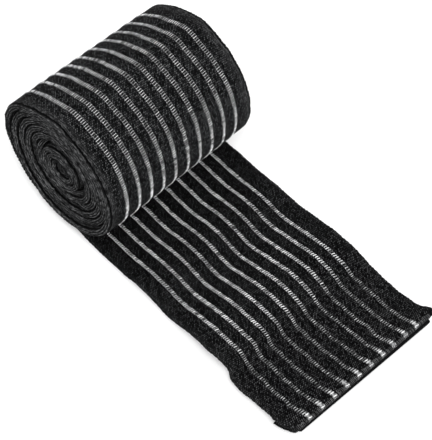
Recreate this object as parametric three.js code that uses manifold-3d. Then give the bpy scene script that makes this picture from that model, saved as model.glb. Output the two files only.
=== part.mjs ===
// Elastic compression wrap for wrist or ankle: one long woven stretch band with ten lengthwise
// stripe cords, loosely rolled up, with a short free tail lying flat and a hook patch sewn under
// the tail's end.
// Frame: millimetres, +Z up. X runs along the free tail, Y along the axis of the roll, and the
// band rests on Z = 0. The origin is the bottom centre of the bounding box.
import * as THREE from 'three';
import { mergeVertices } from 'three/addons/utils/BufferGeometryUtils.js';
import Module from 'manifold-3d';

const wasm = await Module();
wasm.setup();

// ---- band ----
const BAND_T = 2.1; // thickness of the woven web
const BAND_NEAR = -39.8; // near selvedge, from the centre of the stripes
const BAND_FAR = 40.2; // far selvedge: the band is 80 wide
const GAP = 0.3; // clearance between pieces that touch on the real band

// ---- stripe cords, let into the visible face of the band ----
const STRIPE_COUNT = 10;
const STRIPE_PITCH = 6.93;
const STRIPE_W = 1.5;
const STRIPE_T = 0.45;
const STRIPE_SINK = 0.05; // how far a cord's top lies below the web's surface

// ---- roll: outer face radius against turns counted inwards from the bottom contact ----
const ROLL_RADII = [
  [0, 34.5], [0.5, 32.8], [1.5, 28.8], [2.5, 25.1], [3.5, 21.6],
  [4.5, 18.1], [5.5, 14.6], [6.5, 11.3], [7.5, 8.2], [8.25, 5.9],
];
const TURNS = 8.25;
const FOOT_FLAT = 0.35; // how far the roll settles flat on the table under its own weight
const STEPS_PER_TURN = 32;
// sideways wander of the band as it was wound, against turns counted inwards
const WANDER = [
  [0, 2.1], [0.25, 2.0], [0.42, 0.3], [0.55, 0], [0.9, 0], [1.15, 1.2], [1.5, 1.6], [2, 2.2],
  [3, 2.4], [4, 2.6], [5, 2.4], [6, 2.3], [7, 2.2], [8.25, 2.4],
];

// ---- free tail: stations along X from the line where the band leaves the roll ----
const LEAD_END = 18; // first bending line
const FOLD_2 = 59;
const FOLD_3 = 104.5; // the bending line at the edge of the stiff patch
// height of the band's upper face along the tail: two slack waves, then a drop on to the patch
const TAIL_TOP = [
  [0, 2.1], [18, 2.1], [33, 2.1], [38, 2.3], [43, 3.1], [48, 4.0], [53, 4.3], [58, 3.6],
  [63, 2.3], [65.5, 2.1], [68, 2.4], [73, 4.1], [78, 5.8], [83, 7.2], [88, 8.2], [93, 8.6],
  [98, 8.3], [101, 7.4], [103, 6.2], [105, 4.8], [107, 4.1], [109, 3.9], [121, 3.9],
  [125, 4.6], [129, 5.8], [131.5, 6.3], [142, 6.3],
];
const TAIL_STEP = 3.2;

// ---- hem: the end of the band is turned under ----
const HEM_BACK = 131.6; // cut edge of the turned-under flap
const HEM_TURN = 138.25; // where the fold begins
const HEM_SLOT = 0.3; // between the two layers

// ---- hook patch under the tail's end ----
const PATCH_START = 105.6;
const PATCH_END = 139.4;
const PATCH_T = 1.5;
const PATCH_MARGIN = 1.0; // how far the patch stops short of each selvedge

// ---- sewing ----
const SEAM_INSET = 3.0;
const SEAM_OUTER = 130.2; // outer run of the needle thread, beside the hem
const THREAD_W = 0.8;
const THREAD_T = 0.35;
const WHIP_REACH = 2.6; // how far the end stitches reach back over the upper face

const ROLL_CENTRE_Z = ROLL_RADII[0][1] - FOOT_FLAT;
const TAIL_Y = WANDER[0][1];

// ---- curves ----
// Monotone cubic through a table, so that radii fall smoothly from turn to turn.
function curve(table) {
  const x = table.map((p) => p[0]);
  const y = table.map((p) => p[1]);
  const n = x.length;
  const d = [];
  for (let i = 0; i < n - 1; i++) d.push((y[i + 1] - y[i]) / (x[i + 1] - x[i]));
  const m = [d[0]];
  for (let i = 1; i < n - 1; i++) {
    m.push(d[i - 1] * d[i] <= 0 ? 0 : (2 * d[i - 1] * d[i]) / (d[i - 1] + d[i]));
  }
  m.push(d[n - 2]);
  return (t) => {
    let i = 0;
    while (i < n - 2 && t > x[i + 1]) i++;
    const h = x[i + 1] - x[i];
    const u = Math.min(1, Math.max(0, (t - x[i]) / h));
    const a = 2 * u ** 3 - 3 * u ** 2 + 1;
    const b = u ** 3 - 2 * u ** 2 + u;
    const c = -2 * u ** 3 + 3 * u ** 2;
    const e = u ** 3 - u ** 2;
    return a * y[i] + b * h * m[i] + c * y[i + 1] + e * h * m[i + 1];
  };
}
const radiusAt = curve(ROLL_RADII);
const wanderAt = curve(WANDER);

function outerRadius(turn) {
  const r = radiusAt(turn);
  const c = Math.cos(2 * Math.PI * turn);
  return turn < 0.1 ? Math.min(r, ROLL_CENTRE_Z / c) : r;
}

// Point of the roll's section at a turn, offset outwards from the band's outer face.
function rollPoint(turn, offset) {
  const r = outerRadius(turn) + offset;
  const a = 2 * Math.PI * turn;
  return [-r * Math.sin(a), ROLL_CENTRE_Z - r * Math.cos(a)];
}

function rollArc(from, to, offset) {
  const n = Math.max(2, Math.ceil(Math.abs(to - from) * STEPS_PER_TURN));
  const out = [];
  for (let i = 0; i <= n; i++) out.push(rollPoint(from + ((to - from) * i) / n, offset));
  return out;
}

// ---- solids ----
// A section in the XZ plane, extruded along Y from y0 to y1.
function prism(section, y0, y1) {
  const shape = new THREE.Shape(section.map(([x, z]) => new THREE.Vector2(x, z)));
  const g = new THREE.ExtrudeGeometry(shape, { depth: y1 - y0, bevelEnabled: false, steps: 1 });
  g.rotateX(Math.PI / 2); // the section's second axis becomes Z and the depth runs to -Y
  g.translate(0, y1, 0);
  return g;
}

function toSolid(geometry) {
  let g = geometry.clone();
  g.deleteAttribute('normal');
  g.deleteAttribute('uv');
  g = mergeVertices(g, 1e-5);
  return new wasm.Manifold(
    new wasm.Mesh({
      numProp: 3,
      vertProperties: new Float32Array(g.attributes.position.array),
      triVerts: new Uint32Array(g.index.array),
    }),
  );
}

function toGeometry(solid) {
  const m = solid.getMesh();
  const g = new THREE.BufferGeometry();
  g.setAttribute('position', new THREE.BufferAttribute(new Float32Array(m.vertProperties), 3));
  g.setIndex(new THREE.BufferAttribute(new Uint32Array(m.triVerts), 1));
  g.computeVertexNormals();
  return g;
}

// Moves each point of a rolled solid sideways by the wander of the turn that it belongs to.
function applyWander(g) {
  const p = g.attributes.position;
  for (let i = 0; i < p.count; i++) {
    const x = p.getX(i);
    const z = p.getZ(i) - ROLL_CENTRE_Z;
    const r = Math.hypot(x, z);
    const part = ((Math.atan2(-x, -z) / (2 * Math.PI)) % 1 + 1) % 1;
    let best = 0;
    let err = Infinity;
    for (let n = 0; n <= Math.ceil(TURNS); n++) {
      for (const t of [part + n, part + n - 1]) {
        if (t < -0.02 || t > TURNS + 0.05) continue;
        const mid = outerRadius(Math.max(0, t)) - BAND_T / 2;
        if (Math.abs(mid - r) < err) {
          err = Math.abs(mid - r);
          best = Math.max(0, t);
        }
      }
    }
    p.setY(i, p.getY(i) + wanderAt(best));
  }
  g.computeVertexNormals();
  return g;
}

const stripeY = (k) => (k - (STRIPE_COUNT - 1) / 2) * STRIPE_PITCH;
const CUT_W = STRIPE_W + 2 * GAP;
const CUT_D = STRIPE_SINK + STRIPE_T + GAP;

// ---- materials ----
const BLACK_WEB = { color: 0x17171a, roughness: 0.95, metalness: 0 };
const GREY_YARN = { color: 0xa9abad, roughness: 0.9, metalness: 0 };
const PATCH = { color: 0x0d0d0e, roughness: 0.75, metalness: 0 };
const THREAD = { color: 0x303033, roughness: 0.85, metalness: 0 };
const OVERLOCK = { color: 0x3a3b3e, roughness: 0.9, metalness: 0 };

const wrap = new THREE.Group();

function add(parent, name, geometry, look) {
  const mesh = new THREE.Mesh(geometry, new THREE.MeshStandardMaterial(look));
  mesh.name = name;
  parent.add(mesh);
  return mesh;
}

// ---- rolled part ----
const rolled = new THREE.Group();
wrap.add(rolled);

const rollSection = [...rollArc(0, TURNS, 0), ...rollArc(TURNS, 0, -BAND_T)];
let rollSolid = toSolid(prism(rollSection, BAND_NEAR, BAND_FAR));
const STRIPE_FROM = 0.012;
const STRIPE_TO = 0.985;
for (let k = 0; k < STRIPE_COUNT; k++) {
  const section = [
    ...rollArc(STRIPE_FROM - 0.002, STRIPE_TO + 0.002, 0.6),
    ...rollArc(STRIPE_TO + 0.002, STRIPE_FROM - 0.002, -CUT_D),
  ];
  const y = stripeY(k);
  rollSolid = rollSolid.subtract(toSolid(prism(section, y - CUT_W / 2, y + CUT_W / 2)));
}
add(rolled, 'band_roll', applyWander(toGeometry(rollSolid)), BLACK_WEB);

for (let k = 0; k < STRIPE_COUNT; k++) {
  const section = [
    ...rollArc(STRIPE_FROM, STRIPE_TO, -STRIPE_SINK),
    ...rollArc(STRIPE_TO, STRIPE_FROM, -STRIPE_SINK - STRIPE_T),
  ];
  const y = stripeY(k);
  const g = toGeometry(toSolid(prism(section, y - STRIPE_W / 2, y + STRIPE_W / 2)));
  add(rolled, `stripe_roll_${String(k + 1).padStart(2, '0')}`, applyWander(g), GREY_YARN);
}

// Overlocked inner end, in the core of the roll: a thread sleeve folded round the cut edge.
{
  const start = TURNS - 0.09;
  const a = TURNS + 0.011;
  const b = TURNS + 0.023;
  const section = [
    ...rollArc(start, b, GAP + THREAD_T), ...rollArc(b, start, -BAND_T - GAP - THREAD_T),
    ...rollArc(start, a, -BAND_T - GAP), ...rollArc(a, start, GAP),
  ];
  const g = toGeometry(toSolid(prism(section, BAND_NEAR + 0.5, BAND_FAR - 0.5)));
  add(rolled, 'inner_end_overlock', applyWander(g), OVERLOCK);
}

// ---- free tail ----
const tail = new THREE.Group();
tail.position.set(0, TAIL_Y, 0);
wrap.add(tail);

const topAt = curve(TAIL_TOP);

// Point at station x, offset square to the band from its upper face.
function tailPoint(x, offset) {
  const e = 0.25;
  const slope = (topAt(x + e) - topAt(x - e)) / (2 * e);
  const k = Math.hypot(1, slope);
  return [x - (slope / k) * offset, topAt(x) + offset / k];
}

function tailRun(from, to, offset) {
  const n = Math.max(1, Math.ceil(Math.abs(to - from) / TAIL_STEP));
  const out = [];
  for (let i = 0; i <= n; i++) out.push(tailPoint(from + ((to - from) * i) / n, offset));
  return out;
}

// The short length pressed flat under the roll.
add(
  tail,
  'band_lead',
  prism([[GAP / 2, 0], [LEAD_END - GAP / 2, 0], [LEAD_END - GAP / 2, BAND_T], [GAP / 2, BAND_T]], BAND_NEAR, BAND_FAR),
  BLACK_WEB,
);

function stripedPanel(label, section, x0, x1) {
  let solid = toSolid(prism(section, BAND_NEAR, BAND_FAR));
  for (let k = 0; k < STRIPE_COUNT; k++) {
    const y = stripeY(k);
    const cut = [...tailRun(x0 - GAP, x1 + GAP, 0.9), ...tailRun(x1 + GAP, x0 - GAP, -CUT_D)];
    solid = solid.subtract(toSolid(prism(cut, y - CUT_W / 2, y + CUT_W / 2)));
  }
  add(tail, `band_${label}`, toGeometry(solid), BLACK_WEB);
  for (let k = 0; k < STRIPE_COUNT; k++) {
    const y = stripeY(k);
    const cord = [...tailRun(x0, x1, -STRIPE_SINK), ...tailRun(x1, x0, -STRIPE_SINK - STRIPE_T)];
    add(
      tail,
      `stripe_${label}_${String(k + 1).padStart(2, '0')}`,
      prism(cord, y - STRIPE_W / 2, y + STRIPE_W / 2),
      GREY_YARN,
    );
  }
}

function panelSection(x0, x1) {
  return [...tailRun(x0, x1, 0), ...tailRun(x1, x0, -BAND_T)];
}
const END_IN = 0.7; // the cords stop this far inside each rigid length
stripedPanel('tail_1', panelSection(LEAD_END + GAP / 2, FOLD_2 - GAP / 2), LEAD_END + END_IN, FOLD_2 - END_IN);
stripedPanel('tail_2', panelSection(FOLD_2 + GAP / 2, FOLD_3 - GAP * 0.65), FOLD_2 + END_IN, FOLD_3 - END_IN);

// The end of the band lies over the hook patch and is turned under at its tip.
const HEM_TOP = topAt(HEM_TURN);
const HEM_R = BAND_T + HEM_SLOT / 2;
function arc(cx, cz, r, from, to, n) {
  const out = [];
  for (let i = 0; i <= n; i++) {
    const a = from + ((to - from) * i) / n;
    out.push([cx + r * Math.cos(a), cz + r * Math.sin(a)]);
  }
  return out;
}
const endSection = [
  ...tailRun(FOLD_3 + GAP * 0.65, HEM_TURN, 0),
  ...arc(HEM_TURN, HEM_TOP - HEM_R, HEM_R, Math.PI / 2, -Math.PI / 2, 12).slice(1),
  [HEM_BACK, HEM_TOP - 2 * HEM_R],
  [HEM_BACK, HEM_TOP - BAND_T - HEM_SLOT],
  ...arc(HEM_TURN, HEM_TOP - HEM_R, HEM_SLOT / 2, -Math.PI / 2, Math.PI / 2, 4),
  ...tailRun(HEM_TURN - 0.5, FOLD_3 + GAP * 0.65, -BAND_T),
];
stripedPanel('tail_3', endSection, FOLD_3 + END_IN, HEM_TURN - 0.4);
const TAIL_END = HEM_TURN + HEM_R;

// Hook patch, with a shallow channel for the bobbin thread on its lower face.
function frameRing(x0, x1, y0, y1, w, z0, z1) {
  const shape = new THREE.Shape([
    new THREE.Vector2(x0, y0), new THREE.Vector2(x1, y0), new THREE.Vector2(x1, y1), new THREE.Vector2(x0, y1),
  ]);
  shape.holes.push(
    new THREE.Path([
      new THREE.Vector2(x0 + w, y0 + w), new THREE.Vector2(x0 + w, y1 - w),
      new THREE.Vector2(x1 - w, y1 - w), new THREE.Vector2(x1 - w, y0 + w),
    ]),
  );
  const g = new THREE.ExtrudeGeometry(shape, { depth: z1 - z0, bevelEnabled: false, steps: 1 });
  g.translate(0, 0, z0);
  return g;
}
const px0 = PATCH_START;
const px1 = PATCH_END;
const py0 = BAND_NEAR + PATCH_MARGIN;
const py1 = BAND_FAR - PATCH_MARGIN;
{
  const plate = new THREE.BoxGeometry(px1 - px0, py1 - py0, PATCH_T);
  plate.translate((px0 + px1) / 2, (py0 + py1) / 2, PATCH_T / 2);
  const channel = frameRing(
    px0 + SEAM_INSET - GAP, px1 - SEAM_INSET + GAP, py0 + SEAM_INSET - GAP, py1 - SEAM_INSET + GAP,
    THREAD_W + 2 * GAP, -1, THREAD_T + GAP + 0.05,
  );
  add(tail, 'hook_patch', toGeometry(toSolid(plate).subtract(toSolid(channel))), PATCH);
}
add(
  tail,
  'patch_bobbin_thread',
  frameRing(px0 + SEAM_INSET, px1 - SEAM_INSET, py0 + SEAM_INSET, py1 - SEAM_INSET, THREAD_W, 0.05, 0.05 + THREAD_T),
  THREAD,
);

// Needle thread of the patch's seam, on the upper face: a closed ring that follows the band.
{
  const x0 = px0 + SEAM_INSET;
  const x1 = SEAM_OUTER;
  const y0 = py0 + SEAM_INSET;
  const y1 = py1 - SEAM_INSET;
  const layer = (a, b) => [...tailRun(a, b, GAP), ...tailRun(b, a, GAP + THREAD_T)].reverse();
  const outer = toSolid(prism(layer(x0, x1), y0, y1));
  const inner = [...tailRun(x0 + THREAD_W, x1 - THREAD_W, -1), ...tailRun(x1 - THREAD_W, x0 + THREAD_W, 2)].reverse();
  const ring = outer.subtract(toSolid(prism(inner, y0 + THREAD_W, y1 - THREAD_W)));
  add(tail, 'patch_needle_thread', toGeometry(ring), THREAD);
}

// Whip stitches over the folded tip: a thin thread skin from the upper face down to the patch.
{
  const cz = HEM_TOP - HEM_R;
  const r = HEM_R + GAP;
  const x0 = HEM_TURN - WHIP_REACH + HEM_R;
  const section = [
    [x0, HEM_TOP + GAP], ...arc(HEM_TURN, cz, r, Math.PI / 2, 0, 6), [HEM_TURN + r, 0.3],
    [HEM_TURN + r + THREAD_T, 0.3], ...arc(HEM_TURN, cz, r + THREAD_T, 0, Math.PI / 2, 6),
    [x0, HEM_TOP + GAP + THREAD_T],
  ].reverse();
  add(tail, 'end_whip_thread', toGeometry(toSolid(prism(section, BAND_NEAR + 1.5, BAND_FAR - 1.5))), THREAD);
}

// ---- origin at the bottom centre of the bounding box ----
wrap.updateMatrixWorld(true);
const box = new THREE.Box3().setFromObject(wrap, true);
wrap.position.set(-(box.min.x + box.max.x) / 2, -(box.min.y + box.max.y) / 2, -box.min.z);
wrap.updateMatrixWorld(true);

export default wrap;
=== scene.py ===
import bpy, math
import numpy as np
from mathutils import Matrix, Vector


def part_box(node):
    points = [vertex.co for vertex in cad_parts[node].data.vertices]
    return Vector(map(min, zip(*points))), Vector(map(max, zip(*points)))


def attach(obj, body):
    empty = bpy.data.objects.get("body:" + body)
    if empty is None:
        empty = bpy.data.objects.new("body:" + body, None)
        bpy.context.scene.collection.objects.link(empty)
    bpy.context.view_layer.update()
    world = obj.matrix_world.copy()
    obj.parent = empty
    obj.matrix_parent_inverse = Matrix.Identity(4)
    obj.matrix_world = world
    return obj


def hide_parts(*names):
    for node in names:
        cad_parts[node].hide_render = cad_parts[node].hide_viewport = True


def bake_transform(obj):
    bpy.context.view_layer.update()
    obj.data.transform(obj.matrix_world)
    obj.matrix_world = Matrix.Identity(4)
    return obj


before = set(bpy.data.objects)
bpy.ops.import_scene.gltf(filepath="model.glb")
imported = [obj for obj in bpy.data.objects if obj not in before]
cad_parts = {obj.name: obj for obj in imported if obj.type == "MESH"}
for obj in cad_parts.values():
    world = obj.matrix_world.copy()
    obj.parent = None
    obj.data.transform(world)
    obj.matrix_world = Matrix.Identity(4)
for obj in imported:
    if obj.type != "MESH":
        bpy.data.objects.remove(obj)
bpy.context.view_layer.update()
scene = bpy.context.scene

# The band's own frame, in mm: x along the free tail from the line where it leaves the roll, y from the
# middle of the stripes, z up from the table. DX and DY put it into the row frame.
_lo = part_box("band_lead")[0]
DX = _lo.x * 1000 - 0.15
DY = _lo.y * 1000 + 39.8 - 2.1

# ------------------------------------------------------------------ sizes, as in the CAD model
T = 2.1
H = T / 2
NEAR, FAR = -39.8, 40.2
PITCH = 6.93
N_STRIPES = 10
RADII = [[0, 34.5], [.5, 32.8], [1.5, 28.8], [2.5, 25.1], [3.5, 21.6], [4.5, 18.1], [5.5, 14.6],
         [6.5, 11.3], [7.5, 8.2], [8.25, 5.9]]
TURNS = 8.25
ZC = 34.15
WANDER = [[0, 2.1], [.25, 2.0], [.42, .3], [.55, 0], [.9, 0], [1.15, 1.2], [1.5, 1.6], [2, 2.2],
          [3, 2.4], [4, 2.6], [5, 2.4], [6, 2.3], [7, 2.2], [8.25, 2.4]]
TAIL_TOP = [[0, 2.1], [18, 2.1], [33, 2.1], [38, 2.3], [43, 3.1], [48, 4.0], [53, 4.3], [58, 3.6],
            [63, 2.3], [65.5, 2.1], [68, 2.4], [73, 4.1], [78, 5.8], [83, 7.2], [88, 8.2], [93, 8.6],
            [98, 8.3], [101, 7.4], [103, 6.2], [105, 4.8], [107, 4.1], [109, 3.9], [121, 3.9],
            [125, 4.6], [129, 5.8], [131.5, 6.3], [142, 6.3]]
HEM_TURN, HEM_BACK, HEM_R = 138.25, 131.6, 2.25
PATCH0, PATCH1 = 105.6, 139.4
CUT_A, CUT_B, CUT_C = 6.0, 42.0, 84.0


def curve(table):
    """Monotone cubic through a table."""
    x = np.array([p[0] for p in table], float)
    y = np.array([p[1] for p in table], float)
    d = np.diff(y) / np.diff(x)
    m = np.zeros(len(x))
    m[0], m[-1] = d[0], d[-1]
    for i in range(1, len(x) - 1):
        m[i] = 0 if d[i - 1] * d[i] <= 0 else 2 * d[i - 1] * d[i] / (d[i - 1] + d[i])

    def f(t):
        t = np.asarray(t, float)
        i = np.clip(np.searchsorted(x, t, side="right") - 1, 0, len(x) - 2)
        h = x[i + 1] - x[i]
        u = np.clip((t - x[i]) / h, 0, 1)
        return ((2 * u ** 3 - 3 * u ** 2 + 1) * y[i] + (u ** 3 - 2 * u ** 2 + u) * h * m[i]
                + (-2 * u ** 3 + 3 * u ** 2) * y[i + 1] + (u ** 3 - u ** 2) * h * m[i + 1])
    return f


def lerp(table):
    x = [p[0] for p in table]
    y = [p[1] for p in table]
    return lambda t: np.interp(t, x, y)


def smooth(t):
    t = np.clip(t, 0, 1)
    return t * t * (3 - 2 * t)


def waves(seed, lengths, x):
    """A fixed sum of sines: the small unevenness of a real fabric, between about -1 and 1."""
    r = np.random.RandomState(seed)
    out = np.zeros_like(np.asarray(x, float))
    for L in lengths:
        out = out + np.sin(2 * np.pi * x / (L * r.uniform(.85, 1.15)) + r.uniform(0, 6.28))
    return out / math.sqrt(len(lengths)) / 1.4


# ------------------------------------------------------------------ the band's centre line
radius_at = curve(RADII)
wander_at = curve(WANDER)
top_at = curve(TAIL_TOP)

# soft creases that the roll's outer turn has, as a height against turns from the bottom contact
CREASE = curve([[.30, 0], [.345, .2], [.361, .15], [.389, -.35], [.417, -.42], [.447, -.38], [.468, .1], [.483, .62],
                [.498, 1.12], [.512, .95], [.53, .62], [.556, .38], [.611, .12], [.66, 0], [.72, 0], [.80, -.1],
                [.87, .1], [.95, 0]])


def outer_radius(a):
    r = radius_at(a) + CREASE(np.clip(a, 0, .95)) * (a < .95)
    # the turns below follow the crease less and less
    r = r + .62 * CREASE(np.clip(a - 1, 0, .95)) * ((a >= 1) & (a < 1.95))
    r = r + .35 * CREASE(np.clip(a - 2, 0, .95)) * ((a >= 2) & (a < 2.95))
    c = np.cos(2 * np.pi * a)
    return np.where(a < .1, np.minimum(r, ZC / np.maximum(c, .5)), r)


def build_path():
    a = np.linspace(TURNS, 0, int(TURNS * 480) + 1)
    r = outer_radius(a) - H
    P = np.stack([-r * np.sin(2 * np.pi * a), ZC - r * np.cos(2 * np.pi * a)], 1)
    roll_n = len(a)
    x = np.arange(.25, HEM_TURN + 1e-6, .25)
    e = .25
    sl = (top_at(x + e) - top_at(x - e)) / (2 * e)
    k = np.hypot(1, sl)
    tail = np.stack([x + sl / k * H, top_at(x) - H / k], 1)
    f = np.linspace(np.pi / 2, -np.pi / 2, 25)[1:]
    cz = top_at(HEM_TURN) - HEM_R
    rr = HEM_R - H
    hem = np.stack([HEM_TURN + rr * np.cos(f), cz + rr * np.sin(f)], 1)
    fx = np.arange(HEM_TURN - .25, HEM_BACK - 1e-6, -.25)
    flap = np.stack([fx, np.full(len(fx), cz - rr)], 1)
    P = np.concatenate([P, tail, hem, flap])
    ds = np.hypot(*np.diff(P, axis=0).T)
    s = np.concatenate([[0], np.cumsum(ds)])
    s0 = s[roll_n - 1]
    s = s - s0
    keep = np.concatenate([[True], ds > 1e-6])
    P, s = P[keep], s[keep]
    Tn = np.gradient(P, s, axis=0)
    Tn /= np.linalg.norm(Tn, axis=1)[:, None]
    turn_s = s[:roll_n]
    return s, P, Tn, a, turn_s


S_, P_, T_, A_, AS_ = build_path()
S_START, S_END = S_[0], S_[-1]
_a_of_s = lambda s: np.interp(s, AS_, A_, left=TURNS, right=0.0)       # turns inwards, 0 on the tail
_s_of_a = lambda a: np.interp(-np.asarray(a, float), -A_, AS_)
_tail_i = np.where(S_ >= 0)[0]
_hem_s = S_[_tail_i][np.argmax(P_[_tail_i, 0])]                        # the outermost point of the hem


def s_of_x(x):
    i = _tail_i[S_[_tail_i] <= _hem_s]
    return np.interp(x, P_[i, 0], S_[i])


def x_of_s(s):
    return np.interp(s, S_, P_[:, 0])


# sideways set of the tail, its slightly uneven margins, and the skew of its last third
near_extra = lerp([[-5, .2], [20, .3], [28, .5], [40, .55], [56, .6], [66, .8], [72, .4], [80, .3], [88, -.05], [92, -.2],
                   [97, .2], [101, .7], [104, 1.2], [105.5, .4], [107.5, -.8], [112, -1.15], [116, -1.0], [122, -.5],
                   [128, -.6], [132, -1.2], [136, -1.25], [138, -.7], [142, .5]])
far_extra = lerp([[-5, .6], [20, 1.0], [26, 1.25], [36, 1.3], [44, .65], [50, .15], [56, .35], [62, 1.2], [68, 1.85], [73, 1.5],
                  [78, .8], [84, .55], [92, .2], [100, .1], [104, 1.0], [108, 1.55], [114, 1.45], [120, 1.05], [126, 1.1],
                  [131, .75], [134, 1.2], [137, 2.4], [142, 2.6]])
skew_at = curve([[-5, 0], [66, 0], [84, .018], [97, .060], [104, .078], [128, .075], [134, .064], [140, .053], [146, .053]])


def end_lift(x):
    """The tip of the tail curls up a little and drifts to the far side: 0 to 1 over its last centimetre."""
    return smooth((np.asarray(x, float) - 130.5) / 10)


LIFT_Z, LIFT_Y = 1.9, 1.4


def lateral(s):
    """Where the middle of the stripes lies at each station."""
    a = _a_of_s(s)
    x = x_of_s(s)
    tail = 2.1 - (.50 + .0109 * x) * smooth(x / 24)
    inner = wander_at(a) * smooth((a - 1.0) / .2)
    first = 2.1 * (1 - smooth((a - .02) / .28))
    return np.where(s > 0, tail, np.where(a > 1, inner, first))


# where the near edge of the roll draws back, and how thick and how loose each selvedge is
setback = lerp([[0, -.2], [.1, .1], [.16, .7], [.2, 1.1], [.25, 1.15], [.29, .7], [.34, .1], [.4, 0], [3.78, 0], [3.86, .5], [3.94, 2.6],
                [4.02, 3.6], [4.12, 3.4], [4.2, 1.8], [4.28, .4], [4.36, 0], [5.18, 0], [5.28, .6], [5.38, 2.8], [5.5, 4.4],
                [5.66, 4.6], [5.8, 3.2], [5.9, .9], [6.0, 0], [9, 0]])
roll_far = lerp([[0, .2], [.25, .5], [.36, .75], [.5, .65], [.6, .5], [.66, .9], [.72, 1.2], [.76, 2.0], [.82, 2.2], [.92, 1.2],
                 [1.0, .3], [1.2, 0], [9, 0]])
loose = lerp([[0, .30], [.26, .25], [.30, .55], [.75, .60], [.82, .25], [1.0, .14], [1.24, .14], [1.30, .55], [1.58, .50],
              [1.64, .14], [1.88, .14], [1.95, .55], [2.15, .50], [2.22, .14], [2.84, .14], [2.93, .55], [3.15, .5],
              [3.22, .14], [3.40, .16], [3.48, .5], [3.64, .45], [3.70, .16], [3.86, .2], [3.93, 1.5], [4.18, 1.5], [4.3, .16],
              [5.25, .16], [5.4, 1.4], [5.8, 1.4], [5.95, .16], [6.7, .16], [6.9, .5], [7.1, .2], [7.6, .2], [8.25, .5]])


def slack(a):
    """How loose a turn is at its selvedge, eased over a twelfth of a turn."""
    return sum(loose(np.asarray(a, float) + d) for d in (-.06, -.04, -.02, 0, .02, .04, .06)) / 7


def edge_shape(s, side):
    """(half thickness, offset of the middle towards face B, position across) of a selvedge; side is -1 near, 1 far."""
    a = _a_of_s(s)
    x = x_of_s(s)
    gap = slack(a)
    step = outer_radius(a) - outer_radius(np.minimum(a + 1, TURNS))
    step = np.where(a > TURNS - 1, 3.0, step)
    te = np.clip((step - gap) / 2, .95, 2.05)
    off = te - H
    lead = smooth((a - .02) / .2)                       # on the tail and under the roll the edge is flat
    te = np.where(s > 0, H * 1.0, H + (te - H) * lead)
    off = np.where(s > 0, 0, off * lead)
    te = te * (1 + .03 * waves(31 + side, [9, 5.3, 17], s))
    rim = (a > .005) & (a < .3)
    tooth = np.where(rim, .42, .20) * np.abs(np.sin(np.pi * s / 1.62)) + .11 * waves(41 + side, [3.1, 7.7, 2.3], s)
    slow = .22 * waves(51 + side, [23, 41, 13], s)
    if side < 0:
        e = np.where(s > 0, NEAR + near_extra(x), NEAR + setback(a))
        e = e - tooth - slow * .6
    else:
        e = np.where(s > 0, FAR + far_extra(x), FAR + roll_far(a))
        e = e + tooth + slow * .6
    return te, off, e


def pucker(s, v):
    """Small slack in the cloth, square to it, shared by both faces."""
    x = x_of_s(s)
    tail = smooth((x - 26) / 14) * (s > 0) * (1 - smooth((x - 128) / 8))
    w = .16 * waves(3, [21, 34, 13], s + .35 * v) + .10 * waves(4, [9, 7, 12], v * 1.3 - .2 * s)
    w = w * np.where(s > 0, tail * .8, .35 * smooth((_a_of_s(s) - .03) / .1))
    # the margins of the free tail curl a little
    m = smooth((np.abs(v) - 33) / 7)
    w = w + tail * m * .35 * waves(6, [31, 47], s + 9 * np.sign(v)) + tail * m * .25
    return w


def place(s, v, n, raw=False):
    """A point of the band: station s along it, v across it, n square to it towards face B. Row frame, mm."""
    s, v, n = np.broadcast_arrays(np.asarray(s, float), np.asarray(v, float), np.asarray(n, float))
    n = n + (0 if raw else pucker(s, v))
    px, pz = np.interp(s, S_, P_[:, 0]), np.interp(s, S_, P_[:, 1])
    tx, tz = np.interp(s, S_, T_[:, 0]), np.interp(s, S_, T_[:, 1])
    k = np.hypot(tx, tz)
    tx, tz = tx / k, tz / k
    x = px - tz * n
    z = pz + tx * n
    sk = np.where(s > 0, skew_at(px), 0.0)
    up = np.where(s > 0, end_lift(px), 0.0)
    x = x + sk * v
    return np.stack([x + DX, v + lateral(s) + LIFT_Y * up + DY, z + LIFT_Z * up], -1)


def axes(s):
    tx, tz = np.interp(s, S_, T_[:, 0]), np.interp(s, S_, T_[:, 1])
    k = np.hypot(tx, tz)
    tx, tz = tx / k, tz / k
    o = np.zeros_like(tx)
    return np.stack([tx, o, tz], -1), np.stack([-tz, o, tx], -1)


# ------------------------------------------------------------------ mesh helpers
DZ = .62      # the raised stripes under the band hold the cloth this far off the table


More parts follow.
